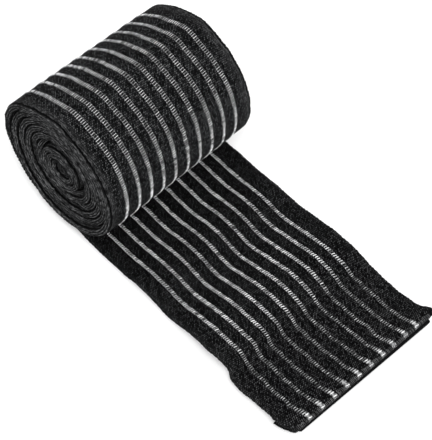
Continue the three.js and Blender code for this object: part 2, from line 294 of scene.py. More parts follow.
def make(name, verts, quads, tris=None, uv=None, attrs=None, mat=None, sharp=None):
    verts = (np.asarray(verts, float).reshape(-1, 3) + np.array([0, 0, DZ])) * .001
    quads = np.asarray(quads, np.int64).reshape(-1, 4)
    tris = np.zeros((0, 3), np.int64) if tris is None else np.asarray(tris, np.int64).reshape(-1, 3)
    me = bpy.data.meshes.new(name)
    me.vertices.add(len(verts))
    me.vertices.foreach_set("co", verts.astype(np.float32).ravel())
    nl = len(quads) * 4 + len(tris) * 3
    me.loops.add(nl)
    me.loops.foreach_set("vertex_index", np.concatenate([quads.ravel(), tris.ravel()]).astype(np.int32))
    me.polygons.add(len(quads) + len(tris))
    start = np.concatenate([np.arange(len(quads)) * 4, len(quads) * 4 + np.arange(len(tris)) * 3])
    me.polygons.foreach_set("loop_start", start.astype(np.int32))
    me.update(calc_edges=True)
    me.polygons.foreach_set("use_smooth", np.ones(len(quads) + len(tris), bool))
    if sharp is not None:
        flags = np.zeros(len(quads) + len(tris), bool)
        flags[sharp] = True
        me.polygons.foreach_set("use_smooth", ~flags)
    if uv is not None:
        layer = me.uv_layers.new(name="UVMap")
        layer.data.foreach_set("uv", np.asarray(uv, np.float32).ravel())
    for key, val in (attrs or {}).items():
        at = me.attributes.new(key, "FLOAT", "POINT")
        at.data.foreach_set("value", np.asarray(val, np.float32).ravel())
    me.validate(verbose=False)
    me.update()
    ob = bpy.data.objects.new(name, me)
    scene.collection.objects.link(ob)
    if mat is not None:
        me.materials.append(mat)
    return ob


def tubes(C, D, U, ru, rb, m):
    """Closed tubes. C (n, q, 3) centre points, D their direction, U up, ru and rb the radii along U and across."""
    n, q, _ = C.shape
    U = U - (U * D).sum(-1, keepdims=True) * D
    U = U / np.linalg.norm(U, axis=-1, keepdims=True)
    B = np.cross(U, D)
    f = 2 * np.pi * np.arange(m) / m
    V = (C[:, :, None] + U[:, :, None] * (ru[..., None, None] * np.sin(f)[:, None])
         + B[:, :, None] * (rb[..., None, None] * np.cos(f)[:, None]))
    V = V.reshape(-1, 3)
    base = (np.arange(n) * q * m)[:, None, None]
    i = np.arange(q - 1)[None, :, None] * m
    j = np.arange(m)[None, None, :]
    jn = (j + 1) % m
    quads = np.stack([base + i + j, base + i + jn, base + i + m + jn, base + i + m + j], -1).reshape(-1, 4)
    nv = len(V)
    ends = np.concatenate([C[:, 0], C[:, -1]])
    c0 = nv + np.arange(n)[:, None]
    c1 = nv + n + np.arange(n)[:, None]
    jj, jjn = np.arange(m)[None], (np.arange(m)[None] + 1) % m
    b0 = (np.arange(n) * q * m)[:, None]
    b1 = b0 + (q - 1) * m
    t0 = np.stack([c0 + 0 * jj, b0 + jjn, b0 + jj], -1).reshape(-1, 3)
    t1 = np.stack([c1 + 0 * jj, b1 + jj, b1 + jjn], -1).reshape(-1, 3)
    return np.concatenate([V, ends]), quads, np.concatenate([t0, t1])


def unit(v):
    return v / np.maximum(np.linalg.norm(v, axis=-1, keepdims=True), 1e-12)


class Bag:
    """Collects closed bodies for one piece."""

    def __init__(self):
        self.v, self.q, self.t, self.a, self.n = [], [], [], [], 0

    def add(self, v, q, t, tone):
        self.v.append(v)
        self.q.append(q + self.n)
        self.t.append(t + self.n)
        self.a.append(np.broadcast_to(tone, (len(v),)))
        self.n += len(v)

    def tubes(self, C, D, U, ru, rb, m, tone):
        """tone (n,) or one number for each tube."""
        n, q, _ = C.shape
        v, qd, t = tubes(C, D, U, ru, rb, m)
        tone = np.broadcast_to(np.asarray(tone, float), (n, q)) if np.ndim(tone) == 2 else np.repeat(
            np.broadcast_to(np.asarray(tone, float), (n,))[:, None], q, 1)
        tv = np.repeat(tone.reshape(-1), m)
        self.add(v, qd, t, np.concatenate([tv, tone[:, 0], tone[:, -1]]))

    def make(self, name, mat):
        return make(name, np.concatenate(self.v), np.concatenate(self.q), np.concatenate(self.t),
                    attrs={"tone": np.concatenate(self.a)}, mat=mat)


# ------------------------------------------------------------------ materials
def material(name):
    m = bpy.data.materials.new(name)
    m.use_nodes = True
    nt = m.node_tree
    nt.nodes.clear()
    out = nt.nodes.new("ShaderNodeOutputMaterial")
    sh = nt.nodes.new("ShaderNodeBsdfPrincipled")
    nt.links.new(sh.outputs[0], out.inputs[0])
    return m, nt, sh


def node(nt, kind, **kw):
    n = nt.nodes.new(kind)
    for k, v in kw.items():
        setattr(n, k, v)
    return n


def link(nt, a, b):
    nt.links.new(a, b)


def mathn(nt, op, a, b=None, c=None):
    n = nt.nodes.new("ShaderNodeMath")
    n.operation = op
    for i, x in enumerate((a, b, c)):
        if x is None:
            continue
        if isinstance(x, (int, float)):
            n.inputs[i].default_value = x
        else:
            nt.links.new(x, n.inputs[i])
    return n.outputs[0]


def ramp(nt, fac, stops):
    n = nt.nodes.new("ShaderNodeValToRGB")
    r = n.color_ramp
    while len(r.elements) < len(stops):
        r.elements.new(.5)
    for e, (p, c) in zip(r.elements, stops):
        e.position = p
        e.color = (*c, 1) if len(c) == 3 else c
    nt.links.new(fac, n.inputs[0])
    return n.outputs[0]


def mixc(nt, fac, a, b, blend="MIX"):
    n = nt.nodes.new("ShaderNodeMix")
    n.data_type = "RGBA"
    n.blend_type = blend
    for sock, x in ((n.inputs[0], fac), (n.inputs[6], a), (n.inputs[7], b)):
        if isinstance(x, (int, float)):
            sock.default_value = x
        elif isinstance(x, tuple):
            sock.default_value = (*x, 1)
        else:
            nt.links.new(x, sock)
    return n.outputs[2]


def noise(nt, vec, scale, detail=2.0, rough=.5):
    n = nt.nodes.new("ShaderNodeTexNoise")
    n.inputs["Scale"].default_value = scale
    n.inputs["Detail"].default_value = detail
    n.inputs["Roughness"].default_value = rough
    nt.links.new(vec, n.inputs["Vector"])
    return n.outputs["Fac"]


def web_material(name, dark=1.0):
    """Black elastic weave: fine twill lines in painted glints and painted shade, a speckle of painted glints on single
    threads, paler fuzzy selvedge with streaks along it.
    """
    m, nt, sh = material(name)
    uvn = node(nt, "ShaderNodeUVMap", uv_map="UVMap")
    sep = node(nt, "ShaderNodeSeparateXYZ")
    link(nt, uvn.outputs[0], sep.inputs[0])
    u, v = sep.outputs[0], sep.outputs[1]          # metres along and across the band
    mm = node(nt, "ShaderNodeVectorMath", operation="SCALE")
    mm.inputs[3].default_value = 1000.0
    link(nt, uvn.outputs[0], mm.inputs[0])
    vec = mm.outputs[0]                             # the same in millimetres
    warp = noise(nt, vec, .35, 2)
    warp = mathn(nt, "MULTIPLY", mathn(nt, "SUBTRACT", warp, .5), 2.6)
    # twill: diagonal floats 0.66 mm apart, leaning 38 degrees to the length, each about 1 mm long
    k = 2 * math.pi / .66
    ca, sa = math.cos(math.radians(38)), math.sin(math.radians(38))
    ph = mathn(nt, "ADD", mathn(nt, "MULTIPLY", u, 1000 * k * sa), mathn(nt, "MULTIPLY", v, 1000 * k * ca))
    ph = mathn(nt, "ADD", ph, warp)
    row = mathn(nt, "FLOOR", mathn(nt, "MULTIPLY", ph, 1 / (2 * math.pi)))
    tw = mathn(nt, "MULTIPLY_ADD", mathn(nt, "COSINE", ph), -.5, .5)
    k2 = 2 * math.pi / 1.0
    ph2 = mathn(nt, "ADD", mathn(nt, "MULTIPLY", u, 1000 * k2 * ca), mathn(nt, "MULTIPLY", v, -1000 * k2 * sa))
    ph2 = mathn(nt, "ADD", ph2, mathn(nt, "MULTIPLY", row, 2.4))
    ph2 = mathn(nt, "ADD", ph2, mathn(nt, "MULTIPLY", warp, 1.3))
    colm = mathn(nt, "FLOOR", mathn(nt, "MULTIPLY", ph2, 1 / (2 * math.pi)))
    pk = mathn(nt, "MULTIPLY_ADD", mathn(nt, "COSINE", ph2), -.5, .5)
    cell = node(nt, "ShaderNodeCombineXYZ")
    link(nt, row, cell.inputs[0])
    link(nt, colm, cell.inputs[1])
    wn = node(nt, "ShaderNodeTexWhiteNoise", noise_dimensions="2D")
    link(nt, cell.outputs[0], wn.inputs["Vector"])
    rnd = wn.outputs["Value"]
    fib = noise(nt, vec, 3.2, 3, .7)
    spk = noise(nt, vec, .95, 1.5, .6)
    # the colour paints light: painted glints on the float tops and painted shade in the gaps between floats, each
    # float's tone differing at random; spk adds painted glints on single threads. The same weave also drives the bump.
    weave = mathn(nt, "MULTIPLY", mathn(nt, "POWER", tw, 1.1), mathn(nt, "POWER", pk, .5))
    lit = mathn(nt, "MULTIPLY", weave, mathn(nt, "MULTIPLY_ADD", rnd, 1.0, .12))
    lit = mathn(nt, "MULTIPLY", lit, mathn(nt, "MULTIPLY_ADD", mathn(nt, "SUBTRACT", spk, .5), 2.4, 1.0))
    mixed = mathn(nt, "MAXIMUM", lit, 0.0)
    col = ramp(nt, mixed, [(0.0, (.0004, .0004, .0005)), (.14, (.0025, .0026, .0028)), (.45, (.025, .0254, .0262)),
                           (.95, (.105, .1065, .109))])
    # fine warp streaks and fuzz on the selvedge
    edge = node(nt, "ShaderNodeAttribute", attribute_name="edge").outputs["Fac"]
    st = node(nt, "ShaderNodeMapping")
    st.inputs["Scale"].default_value = (.36, 2.1, 1)
    link(nt, vec, st.inputs[0])
    streak = noise(nt, st.outputs[0], 1.0, 3, .65)
    ecol = ramp(nt, streak, [(.36, (.0020, .0020, .0021)), (.50, (.020, .0203, .0208)), (.66, (.098, .099, .101))])
    col = mixc(nt, edge, col, ecol)
    # soil, lint and wear in broad soft patches
    big = noise(nt, vec, .06, 3)
    wear = mathn(nt, "MULTIPLY_ADD", mathn(nt, "SUBTRACT", big, .5), .9, 1.0)
    col = mixc(nt, 1.0, col, wear, "MULTIPLY")
    lint = noise(nt, vec, .9, 2, .8)
    lintm = mathn(nt, "GREATER_THAN", lint, .735)
    col = mixc(nt, mathn(nt, "MULTIPLY", lintm, .10), col, (.12, .12, .12))
    # painted shade and painted light from the 'shade' attribute: ribs and gaps of the roll's selvedges, the tail's
    # upper face, the hem's front
    shade = node(nt, "ShaderNodeAttribute", attribute_name="shade").outputs["Fac"]
    col = mixc(nt, 1.0, col, shade, "MULTIPLY")
    link(nt, col, sh.inputs["Base Color"])
    sh.inputs["Roughness"].default_value = .92
    sh.inputs["Specular IOR Level"].default_value = .04
    sh.inputs["Sheen Weight"].default_value = .0
    sh.inputs["Sheen Roughness"].default_value = .55
    hgt = mathn(nt, "ADD", mathn(nt, "MULTIPLY", weave, .85), mathn(nt, "MULTIPLY", fib, .6))
    b = node(nt, "ShaderNodeBump")
    b.inputs["Strength"].default_value = .9
    b.inputs["Distance"].default_value = .00016
    link(nt, hgt, b.inputs["Height"])
    link(nt, b.outputs[0], sh.inputs["Normal"])
    return m


def yarn_material(name, lo, mid, hi, rough=.85, scale=2.6):
    """Spun yarn: fine fibre noise in colour and bump, brightness by the tone of each stitch."""
    m, nt, sh = material(name)
    tc = node(nt, "ShaderNodeTexCoord")
    mm = node(nt, "ShaderNodeVectorMath", operation="SCALE")
    mm.inputs[3].default_value = 1000.0
    link(nt, tc.outputs["Object"], mm.inputs[0])
    vec = mm.outputs[0]
    f = noise(nt, vec, scale, 3, .7)
    w = noise(nt, vec, .55, 2)
    tone = node(nt, "ShaderNodeAttribute", attribute_name="tone").outputs["Fac"]
    fac = mathn(nt, "ADD", mathn(nt, "MULTIPLY", f, .8), mathn(nt, "MULTIPLY", w, .3))
    col = ramp(nt, fac, [(.34, lo), (.54, mid), (.72, hi)])
    col = mixc(nt, 1.0, col, tone, "MULTIPLY")
    col = mixc(nt, 1.0, col, (.88, .88, .88), "DARKEN")
    link(nt, col, sh.inputs["Base Color"])
    sh.inputs["Roughness"].default_value = rough
    sh.inputs["Specular IOR Level"].default_value = .12
    sh.inputs["Sheen Weight"].default_value = .0
    sh.inputs["Sheen Roughness"].default_value = .5
    b = node(nt, "ShaderNodeBump")
    b.inputs["Strength"].default_value = .7
    b.inputs["Distance"].default_value = .00012
    link(nt, f, b.inputs["Height"])
    link(nt, b.outputs[0], sh.inputs["Normal"])
    return m


def patch_material():
    """Black nylon hook tape: a tight plain ground with a soft plastic sheen."""
    m, nt, sh = material("hook_tape")
    tc = node(nt, "ShaderNodeTexCoord")
    mm = node(nt, "ShaderNodeVectorMath", operation="SCALE")
    mm.inputs[3].default_value = 1000.0
    link(nt, tc.outputs["Object"], mm.inputs[0])
    sep = node(nt, "ShaderNodeSeparateXYZ")
    link(nt, mm.outputs[0], sep.inputs[0])
    a = mathn(nt, "SINE", mathn(nt, "MULTIPLY", sep.outputs[0], 2 * math.pi / .55))
    b_ = mathn(nt, "SINE", mathn(nt, "MULTIPLY", sep.outputs[1], 2 * math.pi / .55))
    g = mathn(nt, "MULTIPLY_ADD", mathn(nt, "MULTIPLY", a, b_), .5, .5)
    f = noise(nt, mm.outputs[0], 1.8, 3, .6)
    fac = mathn(nt, "ADD", mathn(nt, "MULTIPLY", g, .5), mathn(nt, "MULTIPLY", f, .5))
    col = ramp(nt, fac, [(.3, (.0015, .0015, .0017)), (.7, (.006, .006, .0065))])
    tone = node(nt, "ShaderNodeAttribute", attribute_name="tone").outputs["Fac"]
    col = mixc(nt, 1.0, col, tone, "MULTIPLY")
    link(nt, col, sh.inputs["Base Color"])
    sh.inputs["Roughness"].default_value = .62
    sh.inputs["Specular IOR Level"].default_value = .07
    b = node(nt, "ShaderNodeBump")
    b.inputs["Strength"].default_value = .5
    b.inputs["Distance"].default_value = .0001
    link(nt, fac, b.inputs["Height"])
    link(nt, b.outputs[0], sh.inputs["Normal"])
    return m


WEB = web_material("black_web")
CORD = yarn_material("grey_stripe_cord", (.09, .091, .093), (.34, .343, .347), (.78, .784, .79))
THREAD = yarn_material("sewing_thread", (.012, .012, .013), (.03, .03, .031), (.06, .06, .062))
WHIP = yarn_material("end_stitch_thread", (.05, .05, .052), (.13, .13, .133), (.24, .24, .245))
LOCK = yarn_material("overlock_thread", (.02, .02, .021), (.05, .05, .052), (.10, .10, .103))
HOOKS = patch_material()


# ------------------------------------------------------------------ the web
DEPTH, ROUND, RIB, RIBS = 1.3, .55, .26, 3.2      # how deep, how square and how ribbed a selvedge is


def web(s, name, fine=True, across=70, ring=9):
    """One length of the woven band between the stations s, closed at both ends."""
    s = np.asarray(s, float)
    n = len(s)
    tn, on, en = edge_shape(s, -1)
    tf, of, ef = edge_shape(s, 1)
    # across: evenly spaced columns
    lin = np.linspace(-1, 1, across)
    base = lin * 36.4
    rows = []
    tot = []
    ed = []
    bulge = .10 * (1 - np.abs(2 * ((base / PITCH + .5 * (N_STRIPES % 2 == 0) + .5) % 1) - 1) ** 3) if fine else 0 * base

    def column(v0, sign):
        """A point on a face, at v0 across before the margins stretch."""
        v = np.full(n, v0)
        m = smooth((v0 - 32.5) / 4) if v0 > 0 else smooth((-v0 - 32.5) / 4)
        if v0 > 32.5:
            lim = ef - DEPTH
            v = 32.5 + (v0 - 32.5) / (36.4 - 32.5) * (lim - 32.5)
        elif v0 < -32.5:
            lim = en + DEPTH
            v = -32.5 + (v0 + 32.5) / (-36.4 + 32.5) * (lim + 32.5)
        te, off = (tf, of) if v0 > 0 else (tn, on)
        m = smooth((np.abs(v0) - 30.5) / 6.5)
        h = H + (te - H) * m
        o = off * m
        return v, o + sign * h

    for j in range(across):                                  # face B, near to far
        v, w = column(base[j], 1)
        rows.append((v, w + bulge[j] * .5))
        ed.append(0.0)
    tt = np.sin(np.linspace(np.pi / 2, -np.pi / 2, ring + 2)[1:-1] * .98)
    tt = np.sign(tt) * np.abs(tt) ** 1.15
    ring_a = _a_of_s(s)

    def ring_shade(t, ph):
        """Painted light on the ribs and painted shade in the grooves along a selvedge, and painted shadow down in the
        gap between two turns.
        """
        c = .5 + .5 * np.cos(np.pi * RIBS * t + ph)
        g = (.16 + 1.55 * c ** 1.4) * (1 - .95 * smooth((abs(t) - .70) / .26))
        return np.where(s > 0, 1.0, g)

    shades = {}
    ribs = np.where(s > 0, 0, 1.0)
    for t in tt:                                             # far selvedge
        c = (1 - abs(t) ** 4) ** ROUND
        rib = RIB * ribs * np.cos(np.pi * RIBS * t + .30 * waves(61, [67, 113, 41], s)) * (1 - abs(t) ** 6)
        shades[len(rows)] = ring_shade(t, .30 * waves(61, [67, 113, 41], s))
        rows.append((ef - DEPTH + DEPTH * c + rib, of + tf * t))
        ed.append(1.0)
    for j in range(across - 1, -1, -1):                      # face A, far to near
        v, w = column(base[j], -1)
        rows.append((v, w - bulge[j] * .5))
        ed.append(0.0)
    for t in tt[::-1]:                                       # near selvedge
        c = (1 - abs(t) ** 4) ** ROUND
        rib = RIB * ribs * np.cos(np.pi * RIBS * t + .30 * waves(62, [67, 113, 41], s)) * (1 - abs(t) ** 6)
        shades[len(rows)] = ring_shade(t, .30 * waves(62, [67, 113, 41], s))
        rows.append((en + DEPTH - DEPTH * c - rib, on + tn * t))
        ed.append(1.0)
    for j in range(3):                                       # the paler selvedge runs a little on to the faces
        for i in (j, across - 1 - j, across + ring + j, 2 * across + ring - 1 - j):
            ed[i] = (.8, .45, .15)[j]
    m = len(rows)
    V = np.stack([r[0] for r in rows], 1)                    # n x m
    W = np.stack([r[1] for r in rows], 1)
    ed = np.array(ed)
    # fine unevenness of the surface
    rs = np.random.RandomState(11)
    g = rs.uniform(-1, 1, (n, m)) * (.035 if fine else .02)
    W = W + g * np.where(ed > .9, .8, 1)
    V = V + rs.uniform(-1, 1, (n, m)) * .08 * (ed > .9)
    pts = place(s[:, None], V, W)
    ii = np.arange(n - 1)[:, None] * m
    jj = np.arange(m)[None]
    jn = (jj + 1) % m
    quads = np.stack([ii + jj, ii + jn, ii + m + jn, ii + m + jj], -1).reshape(-1, 4)
    w0 = np.concatenate([[0], np.cumsum(np.hypot(np.diff(V.mean(0)), np.diff(W.mean(0))))])
    w1 = np.append(w0, w0[-1] + math.hypot(V.mean(0)[-1] - V.mean(0)[0], W.mean(0)[-1] - W.mean(0)[0]))
    us = s * .001
    uq = np.empty((n - 1, m, 4, 2))
    uq[:, :, 0, 0] = us[:-1, None]; uq[:, :, 1, 0] = us[:-1, None]
    uq[:, :, 2, 0] = us[1:, None]; uq[:, :, 3, 0] = us[1:, None]
    uq[:, :, 0, 1] = w1[None, :-1]; uq[:, :, 3, 1] = w1[None, :-1]
    uq[:, :, 1, 1] = w1[None, 1:]; uq[:, :, 2, 1] = w1[None, 1:]
    uq[..., 1] *= .001
    # end caps: face B's columns against face A's, and a fan for each selvedge
    cap_q, cap_t, cq_uv, ct_uv = [], [], [], []
    wv = w1[:m] * .001
    for e, row in ((0, 0), (1, n - 1)):
        b = row * m
        for j in range(across - 1):
            q = [b + j, b + j + 1, b + 2 * across + ring - 2 - j, b + 2 * across + ring - 1 - j]
            cap_q.append(q if e == 1 else q[::-1])
        fa = [b + across - 1 + i for i in range(ring + 2)]
        ne = [b + (2 * across + ring - 1 + i) % m for i in range(ring + 2)]
        for loop in (fa, ne):
            for i in range(1, len(loop) - 1):
                t = [loop[0], loop[i], loop[i + 1]]
                cap_t.append(t if e == 1 else t[::-1])
    cap_q = np.array(cap_q)
    cap_t = np.array(cap_t)
    nq = len(quads)
    # which way the side faces look decides the winding of everything
    flip = side_sign(pts.reshape(-1, 3), quads, n, m)
    if flip:
        quads = quads[:, ::-1]
        uq = uq[:, :, ::-1]
        cap_q, cap_t = cap_q[:, ::-1], cap_t[:, ::-1]
    allq = np.concatenate([quads, cap_q])
    uvq = uq.reshape(-1, 2)
    loops_cap = np.concatenate([cap_q.ravel(), cap_t.ravel()])
    uvc = np.stack([us[loops_cap // m], wv[loops_cap % m]], -1)
    uv = np.concatenate([uvq, uvc])
    edge = np.tile(ed, (n, 1))
    a = _a_of_s(s)
    x = x_of_s(s)
    # the free tail's selvedge is as dark as the rest; the roll's is paler, its outer rim kept dark at the left as
    # painted shadow on that recessed rim
    e_s = np.where(s > 0, .15, .12 + .88 * smooth((a - .22) / .12))
    edge = edge * e_s[:, None]
    # face B's columns, and half of each selvedge ring, which take the tail's shade below
    faceb = np.zeros(m)
    faceb[:across] = 1
    faceb[across:across + ring] = .5
    faceb[2 * across + ring:] = .5
    # painted shade on the tail's upper face: partly the darker weave of face B, partly painted shade, deepening to
    # painted shadow towards the nip under the roll
    sh_tail = lerp([[0, .30], [22, .34], [42, .42], [58, .60], [96, .68], [104, .74], [138, .74]])(x)
    tail_ = smooth(s / 6)[:, None] * faceb[None]
    shade = 1 - tail_ * (1 - sh_tail[:, None])
    # painted shadow on the front of the hem, past its outermost point
    shade = shade * np.where(s > _hem_s - .3, .35, 1.0)[:, None]
    for j, val in shades.items():
        shade[:, j] *= val
    sharp = np.arange(nq, nq + len(cap_q))
    sharp = np.concatenate([sharp, len(allq) + np.arange(len(cap_t))])
    return make(name, pts.reshape(-1, 3), allq, cap_t, uv,
                {"edge": edge.ravel(), "shade": shade.ravel()}, WEB, sharp)


def side_sign(p, quads, n, m):
    """True if the side faces look inwards."""
    q = quads[(n // 2) * m:(n // 2) * m + m]
    a, b, c, d = (p[q[:, i]] for i in range(4))
    nrm = np.cross(c - a, d - b)
    mid = (a + b + c + d) / 4
    cen = mid.mean(0)
    return float(((mid - cen) * nrm).sum()) < 0


def stations(lo, hi, step):
    return np.linspace(lo, hi, max(3, int(round((hi - lo) / step)) + 1))


S_A, S_B, S_C = float(s_of_x(CUT_A)), float(s_of_x(CUT_B)), float(s_of_x(CUT_C))
s_turn1 = float(_s_of_a(1.02))

web_inner = web(stations(S_START, s_turn1, 1.0), "web_inner_turns", fine=False, across=14, ring=25)
web_outer = web(stations(s_turn1, S_A, .62), "web_outer_turn", across=84, ring=25)
web_1 = web(stations(S_A, S_B, .62), "web_tail_1", across=104, ring=9)
web_2 = web(stations(S_B, S_C, .62), "web_tail_2", across=104, ring=9)
web_3 = web(stations(S_C, S_END, .62), "web_tail_3", across=104, ring=9)

# ------------------------------------------------------------------ stripe cords
STRIPES = [(k - (N_STRIPES - 1) / 2) * PITCH for k in range(N_STRIPES)]


# sideways drift of each stripe, in mm: rows are stations, columns are stripes 1 to 10
DRIFT_X = [24, 30, 36, 42, 48, 54, 60, 66, 72, 78, 84, 90, 96, 102, 108, 114, 120, 126, 132, 138]
DRIFT_T = [[.06, -.12, -.16, -.15, -.15, -.08, .06, .04, .27, .25], [.09, -.09, -.19, -.35, -.29, -.22, -.07, -.07, .17, .21],
           [.11, -.01, -.23, -.46, -.44, -.34, -.21, -.2, .05, .14], [.18, .05, .03, -.05, -.09, -.08, -.03, -.13, -.02, .01],
           [.11, .02, .12, .06, .03, .02, -.01, -.08, .02, -.08], [.07, -.03, -.06, -.03, -.06, .02, -.04, -.1, 0, -.11],
           [.32, .16, .07, .15, .13, .19, .17, .14, .24, .27], [.57, .37, .17, .08, .09, .15, .21, .17, .38, .38],
           [.43, .25, .14, .11, -.01, 0, 0, 0, .29, .29], [.23, .21, .13, .1, -.02, -.09, -.01, -.14, -.02, -.1],
           [-.01, -.07, .01, .08, .13, .07, .11, -.1, -.07, -.17], [-.21, -.22, -.16, -.01, .03, .16, .23, .18, .26, -.01],
           [-.14, -.17, -.13, -.15, -.06, .05, .11, -.04, -.04, -.29], [.6, .5, .4, .3, .15, .04, -.12, -.3, -.21, -.28],
           [.02, -.27, -.43, -.34, -.27, -.06, .07, .02, .29, .43], [-.3, -.22, -.24, -.09, .01, .14, .16, .17, .44, .57],
           [-.44, -.27, -.32, .1, .01, .01, .97, .33, .8, .63], [-.68, -.57, 0, -.1, .52, .67, 1.02, .85, .34, -.07],
           [-.8, -.58, -.42, -.23, -.05, .13, .27, -.42, .19, -.05], [-.8, -.58, -.42, -.23, -.05, .13, .27, -.1, .19, -.05]]
DRIFT_A = [.33, .36, .39, .42, .45, .48, .51, .54, .57, .60, .63, .66, .69, .72, .75, .78, .85]
DRIFT_R = [[.66, .57, .09, -.34, -.68, -.74, -.67, -.7, -.39, -.44], [.66, .57, .09, -.34, -.68, -.74, -.67, -.7, -.39, -.44],
           [.4, .3, -.11, -.36, -.71, -.58, -.51, -.42, -.22, -.05], [.28, .21, .02, -.16, -.33, -.13, -.07, -.09, .08, .11],
           [.03, .05, -.08, -.18, -.18, .01, .09, .07, .26, .33], [.1, 0, -.04, .01, .08, .41, .57, .51, .72, .75],
           [.31, .29, .22, .25, .25, .37, .39, .27, .56, .52], [.28, .31, .17, .19, .17, .24, .23, 0, .2, .17],
           [.48, .43, .35, .24, .26, .36, .37, .15, .27, .24], [.63, .52, .47, .3, .3, .38, .44, .28, .41, .32],
           [.82, .73, .56, .42, .45, .39, .49, .34, .43, .51], [.67, .73, .52, .37, .24, .26, .4, .3, .44, .54],
           [.54, .47, .2, .11, .03, .15, .27, .21, .48, .58], [.51, .35, .12, 0, -.07, .08, .19, .4, .59, .75],
           [.5, .53, .33, .27, .38, .58, .63, .64, .9, 1.0], [.79, .9, .9, 1.0, 1.1, 1.3, 1.3, 1.3, 1.4, 1.4], [.5] * 10]


def drift(k, s):
    dt = curve([[0, DRIFT_T[0][k]]] + [[x, r[k]] for x, r in zip(DRIFT_X, DRIFT_T)] + [[150, DRIFT_T[-1][k]]])
    dr = curve([[0, 0], [.2, 0]] + [[a, r[k]] for a, r in zip(DRIFT_A, DRIFT_R)] + [[1, 0], [9, 0]])
    return np.where(np.asarray(s) > 0, dt(x_of_s(s)), dr(_a_of_s(s)))


def cord_run(bag, k, s0, s1, face, look, m=6, seed=0):
    """A stripe from s0 to s1: two rails and a rung every millimetre. face is 1 for face B, -1 for face A."""
    r = np.random.RandomState(100 * k + seed)
    v0 = STRIPES[k]
    pitch = 1.02
    i0, i1 = int(math.ceil(s0 / pitch)), int(math.floor(s1 / pitch))
    idx = np.arange(i0, i1 + 1)
    if len(idx) < 3:
        return
    si = idx * pitch
    L = {key: np.asarray(f(si), float) for key, f in look.items()}
    side = waves(700 + k, [7, 4.5, 11, 3.1], si) * L["meander"]
    vc = v0 + side + drift(k, si) + L["shift"]
    tone = 1.95 * L["tone"] * np.exp(.46 * np.clip(r.normal(0, 1, len(idx)), -2, 1.7) + .16 * waves(740 + k, [7, 17, 4], si))
    tone = tone * np.where(r.uniform(0, 1, len(idx)) < L["gaps"] + .02, .3, 1)
    # rungs
    q = 7
    t = np.linspace(-1, 1, q)
    hw = .92 * L["half"] * (1 + .24 * r.uniform(-1, 1, len(idx)))
    vc = vc + .16 * r.uniform(-1, 1, len(idx))
    rr = .56 * L["rung"] * (1 + .18 * r.uniform(-1, 1, len(idx)))
    S = si[:, None] + (L["slant"] * hw)[:, None] * t + .05 * r.uniform(-1, 1, (len(idx), 1))
    S = np.clip(S, s0, s1)
    V = vc[:, None] + hw[:, None] * t
    arch = (L["rise"])[:, None] * (1 - np.abs(t) ** 2.5) + (L["base"])[:, None]
    N = face * (H + arch)
    C = place(S, V, N)
    D = unit(np.gradient(C, axis=1))
    _, up = axes(S)
    up = up * face
    prof = np.sqrt(np.clip(1 - (np.abs(t) * .96) ** 4, .05, 1))
    bag.tubes(C, D, up, (.8 * L["thick"])[:, None] * prof, rr[:, None] * prof, m, tone)
    # rails
    step = pitch / 4
    sr = np.arange(s0, s1 + step * .5, step)
    sr[-1] = s1
    sr = np.unique(np.clip(sr, s0, s1))
    R = {key: np.asarray(f(sr), float) for key, f in look.items()}
    side = waves(700 + k, [7, 4.5, 11, 3.1], sr) * R["meander"] + drift(k, sr)
    drop = np.interp(sr, si, np.where(r.uniform(0, 1, len(idx)) < L["gaps"] * 1.3, .4, 1.0))
    # a flat strip under the rungs: nearly black along the band as painted shade in the holes between rungs, pale under
    # the pads at the tip
    C = place(sr, v0 + side + R["shift"], face * (H + .03 + 0 * sr))[None]
    D = unit(np.gradient(C, axis=1))
    _, up = axes(sr)
    bag.tubes(C, D, (up * face)[None], np.full((1, len(sr)), .05), (R["half"] * .9)[None], 4, R["bed"][None])
    for which in (-1, 1):
        rad = R["rail_a"] if which < 0 else R["rail_b"]
        if rad.max() < .03:
            continue
        wob = .09 * np.cos(2 * np.pi * sr / pitch + .6 * which) + .10 * waves(780 + 2 * k + which, [1.7, 2.9, 5.3], sr)
        Vr = v0 + side + which * (.95 * R["half"] - (R["inset_a"] if which < 0 else R["inset"]) + wob)
        Nr = face * (H + R["base"] + .06 * np.cos(2 * np.pi * sr / pitch))
        C = place(sr, Vr, Nr)[None]
        D = unit(np.gradient(C, axis=1))
        _, up = axes(sr)
        up = (up * face)[None]
        rad = .86 * np.maximum(rad, .05) * (1 + .22 * np.cos(2 * np.pi * sr / pitch))
        tn = R["rail_a_tone"] if which < 0 else R["rail_tone"]
        tn = (.74 * R["tone"] * tn * drop * np.maximum(.62 + .62 * np.cos(2 * np.pi * sr / pitch), .08) * (1 + .34 * waves(760 + k * 2 + which, [1.3, 2.1, 7, 15], sr)))[None]
        bag.tubes(C, D, up, rad[None], rad[None], m, tn)


def xt(table):
    """A look given against x on the tail."""
    f = lerp(table)
    return lambda s: f(x_of_s(s))


def at_(table):
    f = lerp(table)
    return lambda s: f(_a_of_s(s))


const = lambda c: (lambda s: np.full(np.shape(s), float(c)))

